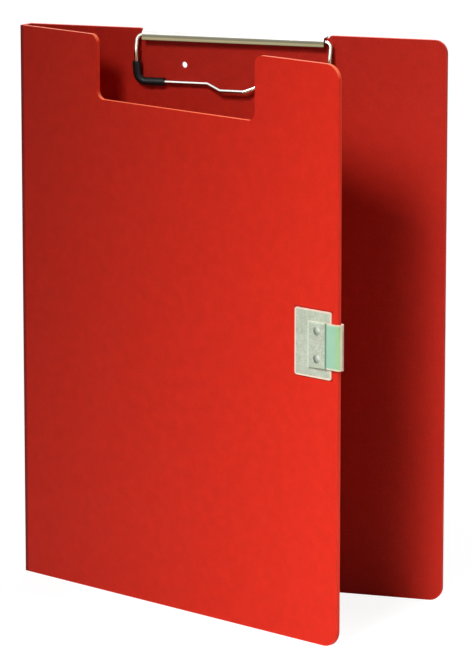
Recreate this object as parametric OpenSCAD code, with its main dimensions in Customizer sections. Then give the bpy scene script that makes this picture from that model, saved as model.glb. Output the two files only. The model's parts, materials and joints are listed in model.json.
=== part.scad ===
// Covered clipboard: a stiff back board, a narrow spine and a front cover, folded from poly sheet
// at two living hinges, with a sprung wire clip along the top and a strap latch on the free edge.
// It stands half open like a book on its lower edges. +Z is up, the boards' width runs along +X
// and the front cover faces -Y.

/* [Panels] */
// Width of the back board and of the front cover, from hinge to free edge
panel_w = 245; // [225:1:300]
// Height of all three panels
panel_h = 317.5; // [290:0.5:360]
// Thickness of the poly sheet
panel_t = 2.5; // [1.8:0.1:3.5]
// Radius of the back board's free corners
board_corner_r = 7.5; // [2:0.5:14]
// Radius of the front cover's free corners
cover_corner_r = 9.5; // [2:0.5:14]

/* [Spine and living hinges] */
// Distance between the two hinge lines
spine_w = 10; // [8:0.5:20]
// Thickness of the web left at a hinge line
web_t = 0.7; // [0.5:0.05:0.9]
// Gap between the web's bead and the nose of the next panel
web_gap = 0.09; // [0.05:0.01:0.2]
// Slope of the panels' coined noses, in degrees
nose_slope = 43; // [38:0.5:44]
// Fold at each hinge as the cover stands half open, in degrees
rest_fold = 77; // [65:1:88]

/* [Clip channel] */
// Length of the channel along the top edge
channel_l = 106.5; // [90:0.5:130]
// Room between the hinge plate's knuckles and the channel's lip
channel_lip_gap = 0.15; // [0.1:0.05:3]
// Height of the channel's front lip, with its rounded corner
channel_lip_h = 5.2; // [4:0.1:8]
// Height of the channel's leg down the back face
channel_leg_h = 13.5; // [12:0.5:20]
// Thickness of the channel's steel
channel_t = 1; // [0.8:0.1:1.2]
// Outer radius of the channel's front corner
channel_r = 2.4; // [1.4:0.1:2.9]
// Depth of the recess in the board's top edge
recess_depth = 1.5; // [1:0.1:5]
// Free length of the recess past each end of the channel
recess_end_gap = 1.75; // [1:0.25:4]
// Radius of the recess's upper corners
recess_r = 1.25; // [0.5:0.25:2]

/* [Clip wire] */
// Diameter of the clip wire
wire_d = 2.2; // [1.6:0.1:2.6]
// Distance between the arms, centre to centre
wire_span = 113.5; // [110:0.5:136]
// Gap between the hinge plate and the pivot run in front of it
pivot_gap = 0.6; // [0.4:0.1:2]
// Distance from the pivot run down to the jaw
jaw_drop = 26; // [21:0.5:32]
// Distance from the pivot run down to the arms' knee
knee_drop = 9.5; // [8:0.5:11.5]
// How far the knee stands out past the pivot run
knee_out = 2.9; // [0.5:0.1:3.5]
// Bend radius between the pivot run and the arms
elbow_r = 3; // [2:0.25:4]
// Bend radius at the knees
knee_r = 5; // [3:0.5:8]
// Bend radius between the arms and the jaw
jaw_corner_r = 5; // [3.5:0.25:7]
// Width of the finger lift along its lower run
lift_w = 14; // [10:0.5:20]
// Length of each slope of the finger lift along the jaw
lift_slope = 8.2; // [6:0.1:10]
// How far the finger lift drops below the jaw
lift_drop = 3.2; // [1:0.1:4]
// How far the finger lift stands out in front of the jaw
lift_out = 3; // [1:0.1:5]
// Bend radius of the finger lift
lift_r = 2.5; // [1.5:0.1:4]
// Room inside the channel between each end of the wire and the rivet's head beside it
wire_end_gap = 6; // [2:0.5:10]
// How much thicker the wire is round its bends, as a factor
bend_swell = 1.015; // [1.012:0.001:1.03]

/* [Wire sleeves] */
// Outer diameter of the vinyl sleeves
sleeve_d = 4.6; // [3.6:0.1:5.2]
// Radial room between wire and sleeve
sleeve_fit = 0.1; // [0.05:0.01:0.2]
// Length of a sleeve's upright leg
sleeve_up = 11.5; // [8:0.5:14]
// Length of a sleeve's leg along the jaw
sleeve_along = 16; // [10:0.5:22]
// Gap between the sleeves and the board
sleeve_gap = 0.3; // [0.2:0.05:1]

/* [Clip hinge plate] */
// Thickness of the plate under the channel
hinge_plate_t = 0.8; // [0.6:0.1:1.2]
// Free height of the plate below the rivets' heads
hinge_plate_margin = 0.2; // [0.1:0.1:1.5]
// Free length at each end of the plate inside the channel
hinge_plate_end_gap = 2; // [1:0.5:6]
// Radial running clearance of the wire in its knuckles
knuckle_fit = 0.06; // [0.03:0.01:0.1]
// Wall of the rolled knuckles
knuckle_wall = 0.7; // [0.6:0.1:1]
// Room between the knuckles and the channel's underside
knuckle_gap = 0.14; // [0.1:0.01:1]
// Length of each knuckle
knuckle_l = 14; // [8:0.5:18]
// Distance between the knuckles' centres
knuckle_span = 78; // [68:1:86]

/* [Clip rivets] */
// Distance between the clip's two rivets
clip_rivet_span = 20; // [14:1:36]
// Distance from the recess floor down to the rivets
clip_rivet_drop = 2.7; // [2.5:0.1:4]
// Diameter of the clip rivets' shanks
clip_rivet_d = 2.6; // [2:0.1:3]
// Diameter of the clip rivets' heads
clip_rivet_head_d = 4.2; // [3.8:0.1:4.8]
// Height of the clip rivets' heads
clip_rivet_head_h = 0.8; // [0.6:0.1:1]

/* [Screw holes] */
// Diameter of the two through holes
hole_d = 3.5; // [2:0.1:5]
// Distance between the two through holes
hole_span = 60; // [40:1:80]
// Distance from the pivot run down to the through holes
hole_drop = 16.3; // [14:0.1:17.5]

/* [Cover notch] */
// Room between the wire's sleeves and the sides of the notch
notch_side_gap = 1.9; // [1.5:0.1:10]
// Room between the finger lift and the bottom of the notch
notch_low_gap = 2.2; // [1.5:0.1:10]
// Radius of the notch's corners
notch_r = 5; // [2:0.25:8]

/* [Latch] */
// Height of the latch's centre above the lower edge
latch_z = 166; // [120:0.1:200]
// Width of the latch plate
plate_w = 26.7; // [22:0.1:34]
// Height of the latch plate
plate_h = 37; // [32:0.5:46]
// Thickness of the latch plate
plate_t = 0.8; // [0.5:0.1:1.2]
// Corner radius of the latch plate
plate_r = 1.5; // [0.5:0.25:3]
// Distance from the plate to the cover's free edge
plate_edge_gap = 4.2; // [2:0.1:12]
// Height of the strap, along the cover's edge
strap_h = 25; // [20:0.5:30]
// Thickness of the strap
strap_t = 1; // [0.6:0.1:1.5]
// Width of the clamp bar, across the strap
clamp_w = 13; // [9:0.1:15]
// Thickness of the clamp bar
clamp_t = 0.7; // [0.5:0.1:1.2]
// Distance from the clamp bar's outer edge to the latch plate's edge
clamp_inset = 2.5; // [1:0.1:6]
// Distance between the latch rivets
latch_rivet_span = 15.2; // [10:0.1:18]
// Diameter of the latch rivets' shanks
latch_rivet_d = 3; // [2:0.1:3.4]
// Diameter of the latch rivets' heads
latch_rivet_head_d = 4.8; // [4.4:0.1:6]
// Height of the latch rivets' heads
latch_rivet_head_h = 0.9; // [0.6:0.1:1.2]

/* [Hidden] */

$fn = 64;
eps = 0.5;                                  // how far a cutter runs past what it cuts

red = [0.86, 0.17, 0.10];
nickel = [0.78, 0.78, 0.75];
vinyl_black = [0.06, 0.06, 0.07];
bare_metal = [0.70, 0.73, 0.68];
mint = [0.66, 0.84, 0.74];

// Each panel's outer face lies half a web outside its hinge lines, so the outer corners stay crisp
web_r = web_t / 2;
nose_x = web_r + web_gap;
inner_y = panel_t - web_r;                  // from a hinge line to a panel's inner face
front_y = -inner_y;                         // the back board's front face

// Folded directions of the spine and the cover, seen from above
spine_dir = rest_fold - 180;
cover_dir = spine_dir + rest_fold;
cover_hinge = [spine_w * cos(spine_dir), spine_w * sin(spine_dir), 0];

// The clip's height chain, from the top edge down, and its middle
clip_x = panel_w / 2;
recess_z = panel_h - recess_depth;
wire_r = wire_d / 2;
knuckle_r = wire_r + knuckle_fit + knuckle_wall;
pivot_z = recess_z - knuckle_gap - knuckle_r;
jaw_z = pivot_z - jaw_drop;
lift_z = jaw_z - lift_drop;
pivot_y = front_y - hinge_plate_t - pivot_gap - wire_r;
channel_front_y = pivot_y - knuckle_r - channel_lip_gap - channel_t;
jaw_y = front_y - sleeve_gap - sleeve_d / 2;
lift_y = jaw_y - lift_out;
arm_x = wire_span / 2;
wire_end_x = clip_rivet_span / 2 + clip_rivet_head_d / 2 + wire_end_gap;

// The wire's centre line on the +X side, from its end in the channel to the finger lift
wire_half = [
    [wire_end_x, pivot_y, pivot_z],
    [arm_x, pivot_y, pivot_z],
    [arm_x, pivot_y - knee_out, pivot_z - knee_drop],
    [arm_x, jaw_y, jaw_z],
    [lift_w / 2 + lift_slope, jaw_y, jaw_z],
    [lift_w / 2, lift_y, lift_z]];
bend_lap = 0.2;                             // how far a leg runs into the thicker bend
bends_half = [0, elbow_r, knee_r, jaw_corner_r, lift_r, lift_r];
steps = [0:len(wire_half) - 1];
wire_points = concat(wire_half, [for (i = steps) mirrored(wire_half[len(wire_half) - 1 - i])]);
wire_bends = concat(bends_half, [for (i = steps) bends_half[len(wire_half) - 1 - i]]);

// The notch in the cover clears the wire as it swings through
notch_w = wire_span + sleeve_d + 2 * notch_side_gap;
notch_z = lift_z - wire_r - notch_low_gap;

// The latch's layers, counted outwards from the cover's outer face
plate_x = panel_w - plate_edge_gap - plate_w;
clamp_x = panel_w - plate_edge_gap - clamp_inset - clamp_w;
latch_rivet_x = clamp_x + clamp_w / 2;
plate_y = -web_r - plate_t;
strap_y = plate_y - strap_t;
clamp_y = strap_y - clamp_t;
strap_in_y = inner_y + strap_t;
strap_mid_y = (strap_y + strap_in_y) / 2;
strap_bend_r = (strap_in_y - strap_y) / 2;

// The origin is the middle of the footprint, on the surface that the clipboard stands on
back_y = web_r + channel_t + clip_rivet_head_h;
west_x = cover_hinge.x - web_r;
south_y = cover_hinge.y + panel_w * sin(cover_dir) + strap_mid_y * cos(cover_dir) - strap_bend_r;
origin = [(west_x + panel_w) / 2, (south_y + back_y) / 2, 0];

function unit(v) = v / norm(v);
function mirrored(p) = [-p.x, p.y, p.z];

// Placing the three folded panels
module on_board() translate(-origin) children();
module on_spine() on_board() rotate([0, 0, spine_dir]) children();
module on_cover() on_board() translate(cover_hinge) rotate([0, 0, cover_dir]) children();

// A round bar or tube along the points, with one bend radius for each point. The child is its
// section. Each leg is drawn along +Z from the end of the last bend, and each bend turns to +X.
// A bend may swell by a hair over the legs, which then lap a little way into it.
module bent(points, bends, swell = 1, lap = 0) {
    way = unit(points[1] - points[0]);
    side = unit(cross([0, 0, 1], way));
    up = cross(way, side);
    multmatrix([
        [side.x, up.x, way.x, points[0].x],
        [side.y, up.y, way.y, points[0].y],
        [side.z, up.z, way.z, points[0].z],
        [0, 0, 0, 1]]) bent_leg(points, bends, swell, lap, 0, side, up) children();
}

// How much of a leg the bend at point i uses up
function bend_leg(points, bends, i) =
    bends[i] == 0 ? 0 : bends[i] * tan(turn_at(points, i) / 2);
function turn_at(points, i) =
    acos(unit(points[i] - points[i - 1]) * unit(points[i + 1] - points[i]));

module bent_leg(points, bends, swell, lap, i, side, up) {
    way = unit(points[i + 1] - points[i]);
    straight = norm(points[i + 1] - points[i]) - bend_leg(points, bends, i)
        - bend_leg(points, bends, i + 1);
    last = i + 2 == len(points);
    lap_in = i == 0 ? 0 : lap;
    translate([0, 0, -lap_in]) linear_extrude(straight + lap_in + (last ? 0 : lap)) children();
    if (!last) {
        next = unit(points[i + 2] - points[i + 1]);
        turn = turn_at(points, i + 1);
        roll = atan2(next * up, next * side);
        across = side * cos(roll) + up * sin(roll);
        translate([0, 0, straight]) rotate([0, 0, roll]) translate([bends[i + 1], 0, 0]) {
            rotate([90, 0, 180]) rotate_extrude(angle = turn) translate([bends[i + 1], 0])
                scale(swell) children();
            rotate([0, turn, 0]) translate([-bends[i + 1], 0, 0])
                bent_leg(points, bends, swell, lap, i + 1, across * cos(turn) - way * sin(turn),
                         up * cos(roll) - side * sin(roll)) children();
        }
    }
}

// A corner cutter that leaves a round of radius r inside the corner at the origin
module round_off(r) difference() {
    translate([-r, -r]) square(r + eps);
    translate([-r, -r]) circle(r);
}

// Outline of a panel in its own plane, with rounded free corners
module panel_outline(corner_r) difference() {
    square([panel_w, panel_h]);
    translate([panel_w, panel_h]) round_off(corner_r);
    translate([panel_w, 0]) mirror([0, 1]) round_off(corner_r);
}

// An opening cut down from the top edge, from z up, with rounded corners above and below
module top_notch(x, w, z, low_r, high_r) translate([x, 0]) {
    difference() {
        translate([-w / 2, z]) square([w, panel_h - z + eps]);
        for (side = [0, 1]) mirror([side, 0]) translate([w / 2, z]) mirror([0, 1]) round_off(low_r);
    }
    for (side = [0, 1]) mirror([side, 0]) translate([w / 2, panel_h]) difference() {
        translate([-eps, -high_r]) square(high_r + eps);
        translate([high_r, -high_r]) circle(high_r);
    }
}

// Plan section of a panel whose coined nose points at the hinge line, inner side up
module nose_section() polygon([
    [nose_x, -web_r],
    [panel_w, -web_r],
    [panel_w, inner_y],
    [inner_y / tan(nose_slope), inner_y],
    [nose_x, nose_x * tan(nose_slope)]]);

// A panel standing up, from its outline and its plan section
module stand_up() translate([0, inner_y, 0]) rotate([90, 0, 0]) linear_extrude(panel_t) children();

module nosed_panel() intersection() {
    stand_up() children();
    linear_extrude(panel_h) nose_section();
}

module back_board() color(red) on_board() difference() {
    mirror([0, 1, 0]) nosed_panel() difference() {
        panel_outline(board_corner_r);
        top_notch(clip_x, channel_l + 2 * recess_end_gap, recess_z, recess_r / 2, recess_r);
    }
    for (side = [-1, 1]) {
        through(side * hole_span / 2, pivot_z - hole_drop, hole_d);
        through(side * clip_rivet_span / 2, recess_z - clip_rivet_drop, clip_rivet_d);
    }
}

// A hole through the board, hinge plate and channel, placed from the clip's middle
module through(x, z, d) translate([clip_x + x, 0, z]) rotate([90, 0, 0])
    cylinder(h = 4 * panel_t, d = d, center = true);

// The spine has a coined nose along both sides and carries the rounded web of both hinges
module spine_panel() color(red) on_spine() linear_extrude(panel_h) {
    outer_in = web_r / tan(nose_slope);
    inner_in = inner_y / tan(nose_slope);
    polygon([
        [0, 0],
        [outer_in, -web_r],
        [spine_w - outer_in, -web_r],
        [spine_w, 0],
        [spine_w - inner_in, inner_y],
        [inner_in, inner_y]]);
    for (x = [0, spine_w]) translate([x, 0]) circle(web_r);
}

module front_cover() color(red) on_cover() difference() {
    nosed_panel() difference() {
        panel_outline(cover_corner_r);
        top_notch(clip_x, notch_w, notch_z, notch_r, notch_r);
    }
    latch_rivet_places() cylinder(h = 4 * panel_t, d = latch_rivet_d, center = true);
}

// Side view of the channel: back leg, top over the recess, rounded front corner and lip
module channel_section() {
    depth = channel_t + web_r - channel_front_y;
    translate([-web_r - channel_t, 0]) difference() {
        square([depth, channel_leg_h]);
        translate([channel_t, channel_t]) difference() {
            square([depth - 2 * channel_t, channel_leg_h]);
            translate([depth - 2 * channel_t, 0]) mirror([0, 1]) round_off(channel_r - channel_t);
        }
        translate([depth, 0]) mirror([0, 1]) round_off(channel_r);
        translate([depth - 2 * channel_t, channel_lip_h]) square([3 * channel_t, channel_leg_h]);
    }
}

module clip_channel() color(nickel) on_board() difference() {
    translate([clip_x - channel_l / 2, 0, recess_z + channel_t])
        rotate([-90, 0, -90]) linear_extrude(channel_l) channel_section();
    for (side = [-1, 1])
        through(side * clip_rivet_span / 2, recess_z - clip_rivet_drop, clip_rivet_d);
}

// The plate lies on the board's face inside the channel; its rolled knuckles hold the wire
module clip_hinge_plate() color(nickel) on_board() {
    plate_l = channel_l - 2 * hinge_plate_end_gap;
    drop = clip_rivet_drop + clip_rivet_head_d / 2 + hinge_plate_margin;
    plate_front_y = front_y - hinge_plate_t;
    difference() {
        translate([clip_x - plate_l / 2, plate_front_y, recess_z - drop])
            cube([plate_l, hinge_plate_t, drop]);
        for (side = [-1, 1])
            through(side * clip_rivet_span / 2, recess_z - clip_rivet_drop, clip_rivet_d);
    }
    for (side = [-1, 1]) translate([clip_x + side * knuckle_span / 2 - knuckle_l / 2, 0, 0])
        rotate([0, 90, 0]) rotate([0, 0, 90]) linear_extrude(knuckle_l) difference() {
            union() {
                translate([pivot_y, pivot_z]) circle(knuckle_r);
                translate([pivot_y, pivot_z + knuckle_r - knuckle_wall])
                    square([plate_front_y - pivot_y, knuckle_wall]);
            }
            translate([pivot_y, pivot_z]) circle(knuckle_r - knuckle_wall);
        }
}

// A rivet along +Z: a domed head below z = 0, a shank of length grip and a dimpled set head
module rivet(grip, shank_d, head_d, head_h) {
    dome_r = (head_d * head_d / 4 + head_h * head_h) / (2 * head_h);
    cylinder(h = grip, d = shank_d);
    mirror([0, 0, 1]) rotate_extrude() intersection() {
        translate([0, head_h - dome_r]) circle(dome_r, $fn = 180);
        square([head_d / 2, head_h]);
    }
    translate([0, 0, grip]) difference() {
        cylinder(h = head_h, d = head_d - head_h);
        translate([0, 0, head_h / 2]) cylinder(h = head_h, d = shank_d - head_h);
    }
}

module clip_rivets() color(nickel) on_board() for (side = [-1, 1])
    translate([clip_x + side * clip_rivet_span / 2, front_y - hinge_plate_t,
               recess_z - clip_rivet_drop]) rotate([-90, 0, 0])
        rivet(hinge_plate_t + panel_t + channel_t, clip_rivet_d, clip_rivet_head_d,
              clip_rivet_head_h);

module clip_wire() color(nickel) on_board() translate([clip_x, 0, 0])
    bent(wire_points, wire_bends, bend_swell, bend_lap) circle(wire_r, $fn = 32);

// A vinyl tube round one lower corner of the wire: side is 1 at the right end, -1 at the left
module wire_sleeve(side) color(vinyl_black) on_board() translate([clip_x, 0, 0]) {
    corner = wire_half[3];
    top = corner + unit(wire_half[2] - corner) * sleeve_up;
    path = [corner - [sleeve_along, 0, 0], corner, top];
    bent([for (p = path) side > 0 ? p : mirrored(p)], [0, jaw_corner_r, 0]) difference() {
        circle(sleeve_d / 2);
        circle(wire_r + sleeve_fit);
    }
}

module wire_sleeve_left() wire_sleeve(-1);
module wire_sleeve_right() wire_sleeve(1);

// Places on the cover for the latch's two rivets, with +Z pointing into the cover
module latch_rivet_places() for (side = [-1, 1])
    translate([latch_rivet_x, 0, latch_z + side * latch_rivet_span / 2]) rotate([-90, 0, 0])
        children();

module latch_plate() color(bare_metal) on_cover() difference() {
    translate([plate_x, -web_r, latch_z]) rotate([90, 0, 0]) linear_extrude(plate_t)
        difference() {
            translate([0, -plate_h / 2]) square([plate_w, plate_h]);
            for (side = [0, 1], end = [0, 1])
                translate([plate_w / 2, 0]) mirror([side, 0]) mirror([0, end])
                    translate([plate_w / 2, plate_h / 2]) round_off(plate_r);
        }
    latch_rivet_places() cylinder(h = 4 * panel_t, d = latch_rivet_d, center = true);
}

// The strap folds round the free edge, over the plate outside and flat on the cover inside
module latch_strap() color(mint) on_cover() difference() {
    translate([0, 0, latch_z - strap_h / 2]) linear_extrude(strap_h) {
        translate([clamp_x, strap_y]) square([panel_w - clamp_x, strap_t]);
        translate([clamp_x, inner_y]) square([panel_w - clamp_x, strap_t]);
        translate([panel_w, strap_mid_y]) intersection() {
            difference() {
                circle(strap_bend_r);
                circle(strap_bend_r - strap_t);
            }
            translate([0, -strap_bend_r - eps]) square(2 * (strap_bend_r + eps));
        }
    }
    latch_rivet_places() cylinder(h = 4 * panel_t, d = latch_rivet_d, center = true);
}

module strap_clamp() color(bare_metal) on_cover() difference() {
    translate([clamp_x, clamp_y, latch_z - strap_h / 2]) cube([clamp_w, clamp_t, strap_h]);
    latch_rivet_places() cylinder(h = 4 * panel_t, d = latch_rivet_d, center = true);
}

module latch_rivets() color(bare_metal) on_cover() latch_rivet_places()
    translate([0, 0, clamp_y]) rivet(strap_in_y - clamp_y, latch_rivet_d, latch_rivet_head_d,
                                     latch_rivet_head_h);

back_board();
spine_panel();
front_cover();
clip_channel();
clip_hinge_plate();
clip_rivets();
clip_wire();
wire_sleeve_left();
wire_sleeve_right();
latch_plate();
latch_strap();
strap_clamp();
latch_rivets();
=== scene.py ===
"""A red covered clipboard, standing half open: looks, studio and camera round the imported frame."""

import json
import math

import bpy
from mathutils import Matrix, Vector


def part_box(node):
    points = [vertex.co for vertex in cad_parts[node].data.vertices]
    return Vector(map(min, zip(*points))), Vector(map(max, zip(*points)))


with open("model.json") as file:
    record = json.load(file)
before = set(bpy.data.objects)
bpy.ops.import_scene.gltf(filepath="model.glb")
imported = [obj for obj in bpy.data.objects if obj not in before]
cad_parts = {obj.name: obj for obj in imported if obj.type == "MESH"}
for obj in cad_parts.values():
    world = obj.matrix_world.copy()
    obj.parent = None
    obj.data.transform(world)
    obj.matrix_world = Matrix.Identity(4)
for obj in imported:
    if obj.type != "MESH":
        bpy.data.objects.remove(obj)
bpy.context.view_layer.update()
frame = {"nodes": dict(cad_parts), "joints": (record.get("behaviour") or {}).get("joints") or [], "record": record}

MM = 0.001
scene = bpy.context.scene

# The fold at each living hinge as the cover stands half open, and the level directions in which
# the spine and the cover then run from their hinges. The back board runs along +X.
FOLD = math.radians(77)
SPINE_DIR = FOLD - math.pi
COVER_DIR = 2 * FOLD - math.pi


# ---------------------------------------------------------------- where things are

def hinge_line(name):
    """The point at floor level under an upright hinge of the frame."""
    found = next(j for j in frame["joints"] if j["name"] == name)
    return Vector(found["pos_m"]).xy.to_3d()


def level(angle):
    """The level direction at an angle from +X."""
    return Vector((math.cos(angle), math.sin(angle), 0))


BOARD_HINGE = hinge_line("spine_hinge")
COVER_HINGE = hinge_line("cover_hinge")
ALONG_COVER = level(COVER_DIR)
UP = (0, 0, 1)
FORWARD = (0, -1, 0)
SIDEWAYS = (1, 0, 0)

# The clip channel's front lip: how far its foot lies below the board's top, and its rows' height
LIP_DROP = 5.7 * MM
LIP_ROWS = 3.3 * MM
LIP_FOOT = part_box("back_board")[1][2] - LIP_DROP


# ---------------------------------------------------------------- material helpers

# A colour mix node's own colour sockets, which share their names with its other ones
MIX_A, MIX_B, MIX_RESULT = 6, 7, 2


class Nodes:
    """A material, with a short way to write its node tree."""

    def __init__(self, name):
        self.mat = bpy.data.materials.new(name)
        self.mat.use_nodes = True
        self.tree = self.mat.node_tree
        self.tree.nodes.clear()
        self.out = self.add("ShaderNodeOutputMaterial")

    def add(self, kind, **values):
        """A new node. Each value is a property of the node, or goes into the input so named."""
        node = self.tree.nodes.new(kind)
        for key, value in values.items():
            if hasattr(node, key):
                setattr(node, key, value)
            else:
                self.put(node.inputs[key.replace("_", " ")], value)
        return node

    def put(self, socket, value):
        """Links an output to the input socket, or sets the socket's own value."""
        if isinstance(value, bpy.types.NodeSocket):
            self.tree.links.new(value, socket)
        else:
            socket.default_value = value

    def point(self):
        """The place on the piece, in metres."""
        return self.add("ShaderNodeTexCoord").outputs["Object"]

    def noise(self, scale, detail=2.0, rough=0.5, point=None):
        node = self.add("ShaderNodeTexNoise", Scale=scale, Detail=detail, Roughness=rough)
        self.put(node.inputs["Vector"], point or self.point())
        return node.outputs["Fac"]

    def ramp(self, fac, stops):
        """A colour for each value from 0 to 1, through stops of (value, linear colour)."""
        node = self.add("ShaderNodeValToRGB")
        self.put(node.inputs["Fac"], fac)
        while len(node.color_ramp.elements) < len(stops):
            node.color_ramp.elements.new(0.5)
        for element, (place, colour) in zip(node.color_ramp.elements, stops):
            element.position = place
            element.color = (*colour, 1)
        return node.outputs["Color"]

    def mask(self, fac, stops):
        """A grey level for each value from 0 to 1, through stops of (value, level)."""
        return self.ramp(fac, [(place, (level,) * 3) for place, level in stops])

    def dot(self, vector, way):
        """How far a vector goes along a fixed direction."""
        node = self.add("ShaderNodeVectorMath", operation="DOT_PRODUCT")
        self.put(node.inputs[0], vector)
        node.inputs[1].default_value = way
        return node.outputs["Value"]

    def facing(self, way):
        """1 where the surface looks along a direction fixed in the piece, -1 where away."""
        return self.dot(self.add("ShaderNodeTexCoord").outputs["Normal"], way)

    def maths(self, operation, a, b=0.0, clamp=False):
        node = self.add("ShaderNodeMath", operation=operation, use_clamp=clamp)
        self.put(node.inputs[0], a)
        self.put(node.inputs[1], b)
        return node.outputs[0]

    def times(self, a, b, clamp=False):
        return self.maths("MULTIPLY", a, b, clamp)

    def mix(self, fac, a, b, blend="MIX"):
        """Colour a where fac is 0 and colour b where it is 1."""
        node = self.add("ShaderNodeMix", data_type="RGBA", blend_type=blend)
        self.put(node.inputs["Factor"], fac)
        for socket, value in ((node.inputs[MIX_A], a), (node.inputs[MIX_B], b)):
            self.put(socket, (*value, 1) if isinstance(value, tuple) else value)
        return node.outputs[MIX_RESULT]

    def bump(self, height, strength, distance):
        node = self.add("ShaderNodeBump", Strength=strength, Distance=distance)
        self.put(node.inputs["Height"], height)
        return node.outputs["Normal"]

    def surface(self, **values):
        """Ends the material in a Principled shader with these inputs."""
        shader = self.add("ShaderNodeBsdfPrincipled")
        for key, value in values.items():
            self.put(shader.inputs[key.replace("_", " ")], value)
        self.put(self.out.inputs["Surface"], shader.outputs[0])
        return self.mat


def linear(r, g, b):
    """A display colour, 0 to 255 a channel, as the linear colour that shaders take."""
    def one(v):
        v /= 255
        return v / 12.92 if v <= 0.04045 else ((v + 0.055) / 1.055) ** 2.4
    return one(r), one(g), one(b)


# ---------------------------------------------------------------- materials

RED_DEEP = linear(208, 34, 15)
RED = linear(214, 36, 16)
RED_LIFT = linear(220, 39, 18)
# Pale specks, and the painted highlight on edges that look up
RED_SPECK_AND_LIT_TOP = linear(255, 114, 72)
# Paler cut edges with a painted highlight on them
RED_SIDE = linear(255, 60, 36)
# Painted shade along the folds and round the latch plate
RED_SHADE = linear(118, 17, 9)


def span(name, way):
    """How far a CAD node reaches along a level direction and in height."""
    points = [v.co for v in frame["nodes"][name].data.vertices]
    along = [p.dot(way) for p in points]
    high = [p.z for p in points]
    return min(along), max(along), min(high), max(high)


def rim_of(n, point, name, sides="abcd"):
    """Distance in metres from the outline of a plate of the latch, inwards.

    Its sides are a, by the spine, b, by the cover's free edge, c, the foot, and d, the top.
    """
    a, b, c, d = span(name, ALONG_COVER)
    along, high = n.dot(point, ALONG_COVER), n.dot(point, UP)
    found = {"a": (along, a), "b": (b, along), "c": (high, c), "d": (d, high)}
    parts = [n.maths("SUBTRACT", *found[side]) for side in sides]
    least = parts[0]
    for part in parts[1:]:
        least = n.maths("MINIMUM", least, part)
    return least


def red_poly(name, angle, folds, shade_level=1.0, crease=1.2 * MM, top_edge_highlight=0.25, under=None):
    """Matte poly sheet: faint mottling, pale specks, fine haircell grain, paler cut edges with a painted
    highlight, painted shade at folds.

    The panel runs along angle, in the level plane, and has its folds at the points folds, each
    crease so wide. A shade level under 1 darkens the whole sheet as painted shade, and the top
    edge highlight sets how strong the painted highlight on the upper edges is.
    The sheet's outer face also gets a painted shadow just round the node under.
    """
    n = Nodes(name)
    point = n.point()
    mottle = n.noise(160, 3, 0.55, point)
    # A shade level under 1 darkens the whole sheet: painted shade
    body = n.ramp(mottle, [(place, tuple(c * shade_level for c in colour)) for place, colour in
                           ((0.25, RED_DEEP), (0.52, RED), (0.78, RED_LIFT))])
    speck = n.noise(1500, 2, 0.7, point)
    body = n.mix(n.times(n.maths("SUBTRACT", speck, 0.52), 0.4, clamp=True), body, RED_SPECK_AND_LIT_TOP)

    # Edges off the face: paler cut edges with a painted highlight, and on edges that look up a stronger painted
    # highlight from above
    turned = n.facing((-math.sin(angle), math.cos(angle), 0))
    off_face = n.maths("SUBTRACT", 1.0, n.maths("ABSOLUTE", turned))
    above = n.mask(n.facing(UP), [(0.2, 0), (0.6, 1)])
    rim = n.mix(n.times(above, top_edge_highlight), RED_SIDE, RED_SPECK_AND_LIT_TOP)
    body = n.mix(n.mask(off_face, [(0.10, 0), (0.45, 0.9)]), body, rim)

    # Painted shade along each fold
    way = level(angle)
    for place in folds:
        off_fold = n.maths("ABSOLUTE", n.maths("SUBTRACT", n.dot(point, way), place.dot(way)))
        fold_shade = n.mask(n.times(off_fold, 1.0 / crease), [(0.0, 0.85), (0.6, 0.75), (1.0, 0)])
        body = n.mix(fold_shade, body, RED_SHADE)
    # Painted contact shadow on the outer face just round the latch plate
    if under:
        outside = n.times(rim_of(n, point, under), -1.0 / MM)
        shade = n.mask(outside, [(0.0, 0.8), (0.5, 0.65), (0.9, 0)])
        outer = n.times(turned, -1.0, clamp=True)
        body = n.mix(n.times(shade, outer), body, RED_SHADE)

    grain = n.add("ShaderNodeTexVoronoi", feature="SMOOTH_F1", Scale=1700, Smoothness=0.6)
    n.put(grain.inputs["Vector"], point)
    fine = n.noise(900, 3, 0.65, point)
    height = n.maths("ADD", grain.outputs["Distance"], n.times(fine, 0.8))
    wear = n.noise(60, 3, 0.55, point)
    rough = n.maths("ADD", 0.50, n.times(wear, 0.14))
    return n.surface(
        Base_Color=body, Roughness=rough, Specular_IOR_Level=0.22,
        Normal=n.bump(height, 0.35, 0.12 * MM))


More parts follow.
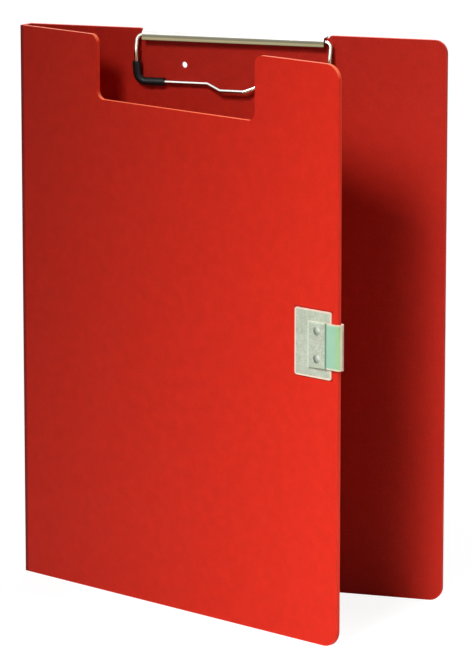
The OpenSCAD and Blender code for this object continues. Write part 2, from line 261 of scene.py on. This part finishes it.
def plated(name, shade_to_highlight_tones, way, rough, sideways_shade=None, lip=None, streak=(1, 1, 1)):
    """Nickel plate with faint drawing marks, a painted highlight on the side that looks along way and painted
    shade on the side that looks away.

    The tones run from the side that looks away from the direction way, in painted shade, to the
    side along it, in painted highlight. A flank is the painted shade of whatever looks sideways.
    A lip is a height range, in metres, whose forward side is painted in rows: a paler painted
    glint low down, a greyer painted shade above it and a painted highlight along its top.
    """
    n = Nodes(name)
    mapping = n.add("ShaderNodeMapping", Scale=streak)
    n.put(mapping.inputs["Vector"], n.point())
    marks = n.noise(900, 3, 0.6, mapping.outputs["Vector"])
    cloud = n.noise(110, 3, 0.6)
    # Painted highlight on the side along way, painted shade on the side away from it
    side = n.times(n.maths("ADD", n.facing(way), 1.0), 0.5)
    body = n.ramp(side, shade_to_highlight_tones)
    if lip:
        low, high = lip
        place = n.times(n.maths("SUBTRACT", n.dot(n.point(), UP), low), 1.0 / (high - low))
        # The lip's forward side in painted rows: a paler painted glint low down, painted shade above it and a
        # painted highlight on top
        rows = n.ramp(place, [(0.0, linear(150, 140, 108)), (0.34, linear(168, 157, 122)),
                              (0.52, linear(122, 118, 100)), (0.86, linear(128, 125, 108)),
                              (1.0, linear(250, 248, 242))])
        body = n.mix(n.mask(n.facing(FORWARD), [(0.86, 0), (0.95, 1)]), body, rows)
    if sideways_shade:
        # Painted shade on whatever looks sideways
        sideways = n.maths("ABSOLUTE", n.facing(SIDEWAYS))
        body = n.mix(n.mask(sideways, [(0.15, 0), (0.5, 0.9)]), body, sideways_shade)
    body = n.mix(n.times(n.maths("SUBTRACT", cloud, 0.35), 0.8, clamp=True), body,
                 n.mix(1.0, body, (0.80, 0.79, 0.76), "MULTIPLY"))
    return n.surface(
        Base_Color=body, Metallic=1.0,
        Roughness=n.maths("ADD", rough, n.times(marks, 0.10)),
        Normal=n.bump(marks, 0.25, 0.02 * MM))


def speckled_plate(name, node, rim, rim_width, sides="abcd", end_shade_line=False):
    """Bare pressed plate, dulled and finely pitted, with a painted highlight along its rim.

    The last flag adds a painted shade line along the plate's end nearest the fold of the strap.
    """
    n = Nodes(name)
    point = n.point()
    pits = n.noise(1100, 3, 0.75, point)
    cloud = n.noise(170, 4, 0.65, point)
    body = n.ramp(cloud, [(0.25, linear(160, 170, 144)), (0.5, linear(176, 184, 162)),
                          (0.78, linear(198, 204, 188))])
    body = n.mix(n.mask(pits, [(0.42, 0), (0.72, 0.6)]), body, linear(226, 232, 222))
    inside = n.times(rim_of(n, point, node, sides), 1.0 / rim_width)
    # Painted highlight along the rim
    body = n.mix(n.mask(inside, [(0.35, 0.9), (1.0, 0)]), body, rim)
    # Painted shade line where the clamp meets the strap's fold
    if end_shade_line:
        close = n.times(rim_of(n, point, node, "b"), 1.0 / MM)
        body = n.mix(n.mask(close, [(0.45, 0.85), (0.85, 0)]), body, linear(116, 146, 124))
    return n.surface(
        Base_Color=body, Metallic=0.3, Roughness=n.maths("ADD", 0.36, n.times(pits, 0.25)),
        Normal=n.bump(pits, 0.5, 0.08 * MM))


def rivet_metal(name, way):
    """Soft aluminium with turning marks from the setting tool, in painted shade on the side away from way and
    painted highlight toward it.
    """
    n = Nodes(name)
    marks = n.noise(700, 2, 0.6)
    # Painted shade on the side away from way, painted highlight on the side toward it
    side = n.times(n.maths("ADD", n.facing(way), 1.0), 0.5)
    body = n.ramp(side, [(0.34, linear(92, 102, 94)), (0.50, linear(150, 162, 148)),
                         (0.78, linear(192, 202, 186))])
    return n.surface(
        Base_Color=n.mix(marks, body, n.mix(1.0, body, (0.78, 0.78, 0.78), "MULTIPLY")),
        Metallic=0.35, Roughness=n.maths("ADD", 0.55, n.times(marks, 0.15)),
        Normal=n.bump(marks, 0.3, 0.04 * MM))


def black_vinyl(name):
    """Dipped vinyl tube: near black, satin, softly uneven."""
    n = Nodes(name)
    soft = n.noise(420, 3, 0.55)
    return n.surface(
        Base_Color=n.mix(soft, linear(7, 11, 13), linear(22, 29, 31)),
        Roughness=n.maths("ADD", 0.34, n.times(soft, 0.16)), Specular_IOR_Level=0.28,
        Normal=n.bump(soft, 0.35, 0.12 * MM))


def mint_vinyl(name):
    """Pale strap vinyl: slightly milky, greener at its fold and creamy along its cut edges."""
    n = Nodes(name)
    point = n.point()
    cloud = n.noise(150, 3, 0.5, point)
    fine = n.noise(1300, 2, 0.6, point)
    body = n.mix(cloud, linear(148, 196, 172), linear(166, 203, 174))
    fold = n.times(rim_of(n, point, "latch_strap", "b"), 1.0 / (5 * MM))
    body = n.mix(n.mask(fold, [(0.30, 0.8), (0.9, 0)]), body, linear(156, 196, 138))
    for sides, width in (("b", 0.5 * MM), ("cd", 1.1 * MM)):
        inside = n.times(rim_of(n, point, "latch_strap", sides), 1.0 / width)
        body = n.mix(n.mask(inside, [(0.35, 0.85), (1.0, 0)]), body, linear(244, 218, 196))
    return n.surface(
        Base_Color=body, Roughness=0.38, Specular_IOR_Level=0.4,
        Subsurface_Weight=0.2, Subsurface_Radius=(0.002, 0.003, 0.002), Subsurface_Scale=0.6,
        Normal=n.bump(fine, 0.2, 0.05 * MM))


# The way in which the latch's rivets look out past the red cover, toward which they are painted lighter; their
# other side is in painted shade
RIVET_LIT_SIDE = (ALONG_COVER + Vector((0, 0, 0.35))).normalized()

# Materials of single nodes, and the materials of the record's slots for all the other nodes
BY_NODE = {
    # The board's red is taken down to 0.76 as painted shade, for the shade it lies in behind the open cover
    "back_board": red_poly("red_poly_board", 0.0, [BOARD_HINGE], 0.76),
    "spine_panel": red_poly("red_poly_spine", SPINE_DIR, [BOARD_HINGE, COVER_HINGE]),
    "front_cover": red_poly("red_poly_cover", COVER_DIR, [COVER_HINGE], crease=2.8 * MM, top_edge_highlight=1.0,
                            under="latch_plate"),
    # The hinge plate's nickel is painted near black as painted shade, for where it shows under the channel's lip
    "clip_hinge_plate": plated(
        "nickel_in_painted_shade", [(0.0, linear(60, 56, 50)), (1.0, linear(72, 67, 58))], UP, 0.3),
    # The clamp: painted highlight along its top and spine-side edges, and a painted shade line at its end by the
    # strap's fold
    "strap_clamp": speckled_plate("clamp_plate", "strap_clamp", linear(210, 230, 210), 1.0 * MM,
                                  "ad", True),
}
BY_SLOT = {
    # The channel: painted highlight on its top, painted shade on its back, its ends painted dark as shade and its
    # lip in painted rows of shade and highlight
    "nickel_channel": plated(
        "nickel_channel", [(0.0, linear(210, 208, 200)), (0.55, linear(253, 252, 250))],
        FORWARD, 0.12, sideways_shade=linear(44, 42, 42), lip=(LIP_FOOT, LIP_FOOT + LIP_ROWS),
        streak=(0.05, 1, 1)),
    # The wire: painted highlight on top, and painted shade with a warm painted reflection of the red sheet on its
    # sides and underside
    "nickel_wire": plated(
        "nickel_wire", [(0.12, linear(120, 108, 84)), (0.50, linear(186, 172, 144)),
                        (0.58, linear(252, 249, 244))],
        UP, 0.10, sideways_shade=linear(176, 160, 130)),
    "rivet_metal": rivet_metal("rivet_metal", RIVET_LIT_SIDE),
    "black_vinyl": black_vinyl("black_vinyl"),
    # The latch plate's peach rim is a painted highlight
    "bare_plate": speckled_plate("bare_plate", "latch_plate", linear(255, 224, 204), 1.2 * MM),
    "mint_strap": mint_vinyl("mint_strap"),
}


# Width of the rounding on each node's sharp edges, where it is large enough to show
EDGES = {
    "back_board": 0.35 * MM, "front_cover": 0.35 * MM, "clip_channel": 0.2 * MM,
    "wire_sleeve_left": 0.25 * MM, "wire_sleeve_right": 0.25 * MM,
    "latch_plate": 0.15 * MM, "latch_strap": 0.2 * MM, "strap_clamp": 0.15 * MM,
}
EDGE_SEGMENTS = 3
EDGE_ANGLE = math.radians(32)


def dress(name, slot):
    """Gives a CAD node its material and small rounded edges."""
    obj = frame["nodes"][name]
    obj.data.materials.clear()
    obj.data.materials.append(BY_NODE[name] if name in BY_NODE else BY_SLOT[slot])
    if name in EDGES:
        mod = obj.modifiers.new("edge", "BEVEL")
        mod.width = EDGES[name]
        mod.segments = EDGE_SEGMENTS
        mod.limit_method = "ANGLE"
        mod.angle_limit = EDGE_ANGLE
        mod.harden_normals = False


for subpart in frame["record"]["subparts"]:
    dress(subpart["node"], subpart["material_slot"])


# ---------------------------------------------------------------- studio

WHITE = (1, 1, 1, 1)
WORLD_LEVEL = 0.02
FLOOR_HALF = 6.0
FLOOR_COLOUR = (0.55, 0.54, 0.53, 1)       # as a light bounces off it
FLOOR_SEEN = (0.22, 0.22, 0.22, 1)         # as it is seen, with the glow on top
FLOOR_GLOW = [(0.15, 0.90), (0.45, 1.0)]   # at these distances from the middle, in metres


def floor_material(name):
    """Plain pale floor. Seen directly it glows as well, so that it is white but for the shadow."""
    n = Nodes(name)
    diffuse = n.add("ShaderNodeBsdfDiffuse", Color=FLOOR_COLOUR)
    seen_diffuse = n.add("ShaderNodeBsdfDiffuse", Color=FLOOR_SEEN)
    away = n.add("ShaderNodeVectorMath", operation="LENGTH")
    n.put(away.inputs[0], n.point())
    glowing = n.add("ShaderNodeEmission", Color=WHITE)
    n.put(glowing.inputs["Strength"], n.mask(away.outputs["Value"], FLOOR_GLOW))
    both = n.add("ShaderNodeAddShader")
    n.put(both.inputs[0], seen_diffuse.outputs[0])
    n.put(both.inputs[1], glowing.outputs[0])
    rays = n.add("ShaderNodeLightPath")
    seen = n.maths("MAXIMUM", rays.outputs["Is Camera Ray"],
                   n.maths("MAXIMUM", rays.outputs["Is Glossy Ray"],
                           rays.outputs["Is Transmission Ray"]))
    mix = n.add("ShaderNodeMixShader")
    n.put(mix.inputs[0], seen)
    n.put(mix.inputs[1], diffuse.outputs[0])
    n.put(mix.inputs[2], both.outputs[0])
    n.put(n.out.inputs["Surface"], mix.outputs[0])
    return n.mat


def make_floor():
    """A large level square under the object."""
    half = FLOOR_HALF
    mesh = bpy.data.meshes.new("floor")
    mesh.from_pydata([(-half, -half, 0), (half, -half, 0), (half, half, 0), (-half, half, 0)], [],
                     [(0, 1, 2, 3)])
    obj = bpy.data.objects.new("floor", mesh)
    obj.data.materials.append(floor_material("floor"))
    scene.collection.objects.link(obj)


def make_world():
    """White where it is seen, directly or in metal, and a plain level grey as light."""
    world = bpy.data.worlds.new("studio")
    scene.world = world
    world.use_nodes = True
    tree = world.node_tree
    tree.nodes.clear()
    link = tree.links.new

    def higher(a, b):
        node = tree.nodes.new("ShaderNodeMath")
        node.operation = "MAXIMUM"
        link(a, node.inputs[0])
        link(b, node.inputs[1])
        return node.outputs[0]

    def light(strength):
        node = tree.nodes.new("ShaderNodeBackground")
        node.inputs["Color"].default_value = WHITE
        node.inputs["Strength"].default_value = strength
        return node.outputs[0]

    rays = tree.nodes.new("ShaderNodeLightPath").outputs
    mix = tree.nodes.new("ShaderNodeMixShader")
    link(higher(rays["Is Camera Ray"],
                higher(rays["Is Glossy Ray"], rays["Is Transmission Ray"])), mix.inputs[0])
    link(light(WORLD_LEVEL), mix.inputs[1])
    link(light(1.0), mix.inputs[2])
    link(mix.outputs[0], tree.nodes.new("ShaderNodeOutputWorld").inputs["Surface"])


def softbox(name, place, target, width, height, power, spread=180):
    """A plain rectangular lamp that looks from place to target, with a spread in degrees."""
    light = bpy.data.lights.new(name, "AREA")
    light.spread = math.radians(spread)
    light.shape = "RECTANGLE"
    light.size = width
    light.size_y = height
    light.energy = power
    obj = bpy.data.objects.new(name, light)
    obj.location = place
    obj.rotation_euler = (Vector(target) - Vector(place)).to_track_quat("-Z", "Y").to_euler()
    scene.collection.objects.link(obj)


make_floor()
make_world()
softbox("key", (0.03, -1.556, 1.25), (0.42, -0.05, -0.05), 0.7, 0.7, 3.85, 34)
softbox("level_fill", (-0.6, -2.2, 0.28), (0.0, 0.0, 0.15), 1.2, 0.5, 0.9)
softbox("back_fill", (-0.9, 2.1, 0.9), (0.0, 0.05, 0.15), 1.2, 1.2, 5.0)
softbox("rim", (0.0, 0.30, 1.45), (0.0, 0.0, 0.3), 0.5, 0.3, 0.6, 40)


# ---------------------------------------------------------------- camera

SENSOR = 36.0
PHOTO_H = 659
FOCAL_PX = 4324.4
CAMERA_PLACE = (747.0 * MM, -2222.4 * MM, 624.4 * MM)
CAMERA_YAW = math.radians(18.094)          # turned to the left of +Y
CAMERA_PITCH = math.radians(11.230)        # tilted down


def make_camera():
    """A camera that sees the object as the photograph does."""
    data = bpy.data.cameras.new("camera")
    data.sensor_fit = "VERTICAL"
    data.sensor_height = SENSOR
    data.sensor_width = SENSOR
    data.lens = FOCAL_PX / PHOTO_H * SENSOR
    data.clip_start = 0.05
    data.clip_end = 50
    obj = bpy.data.objects.new("camera", data)
    obj.location = CAMERA_PLACE
    obj.rotation_euler = (math.pi / 2 - CAMERA_PITCH, 0, CAMERA_YAW)
    scene.collection.objects.link(obj)
    scene.camera = obj


make_camera()
scene.view_settings.view_transform = "Standard"
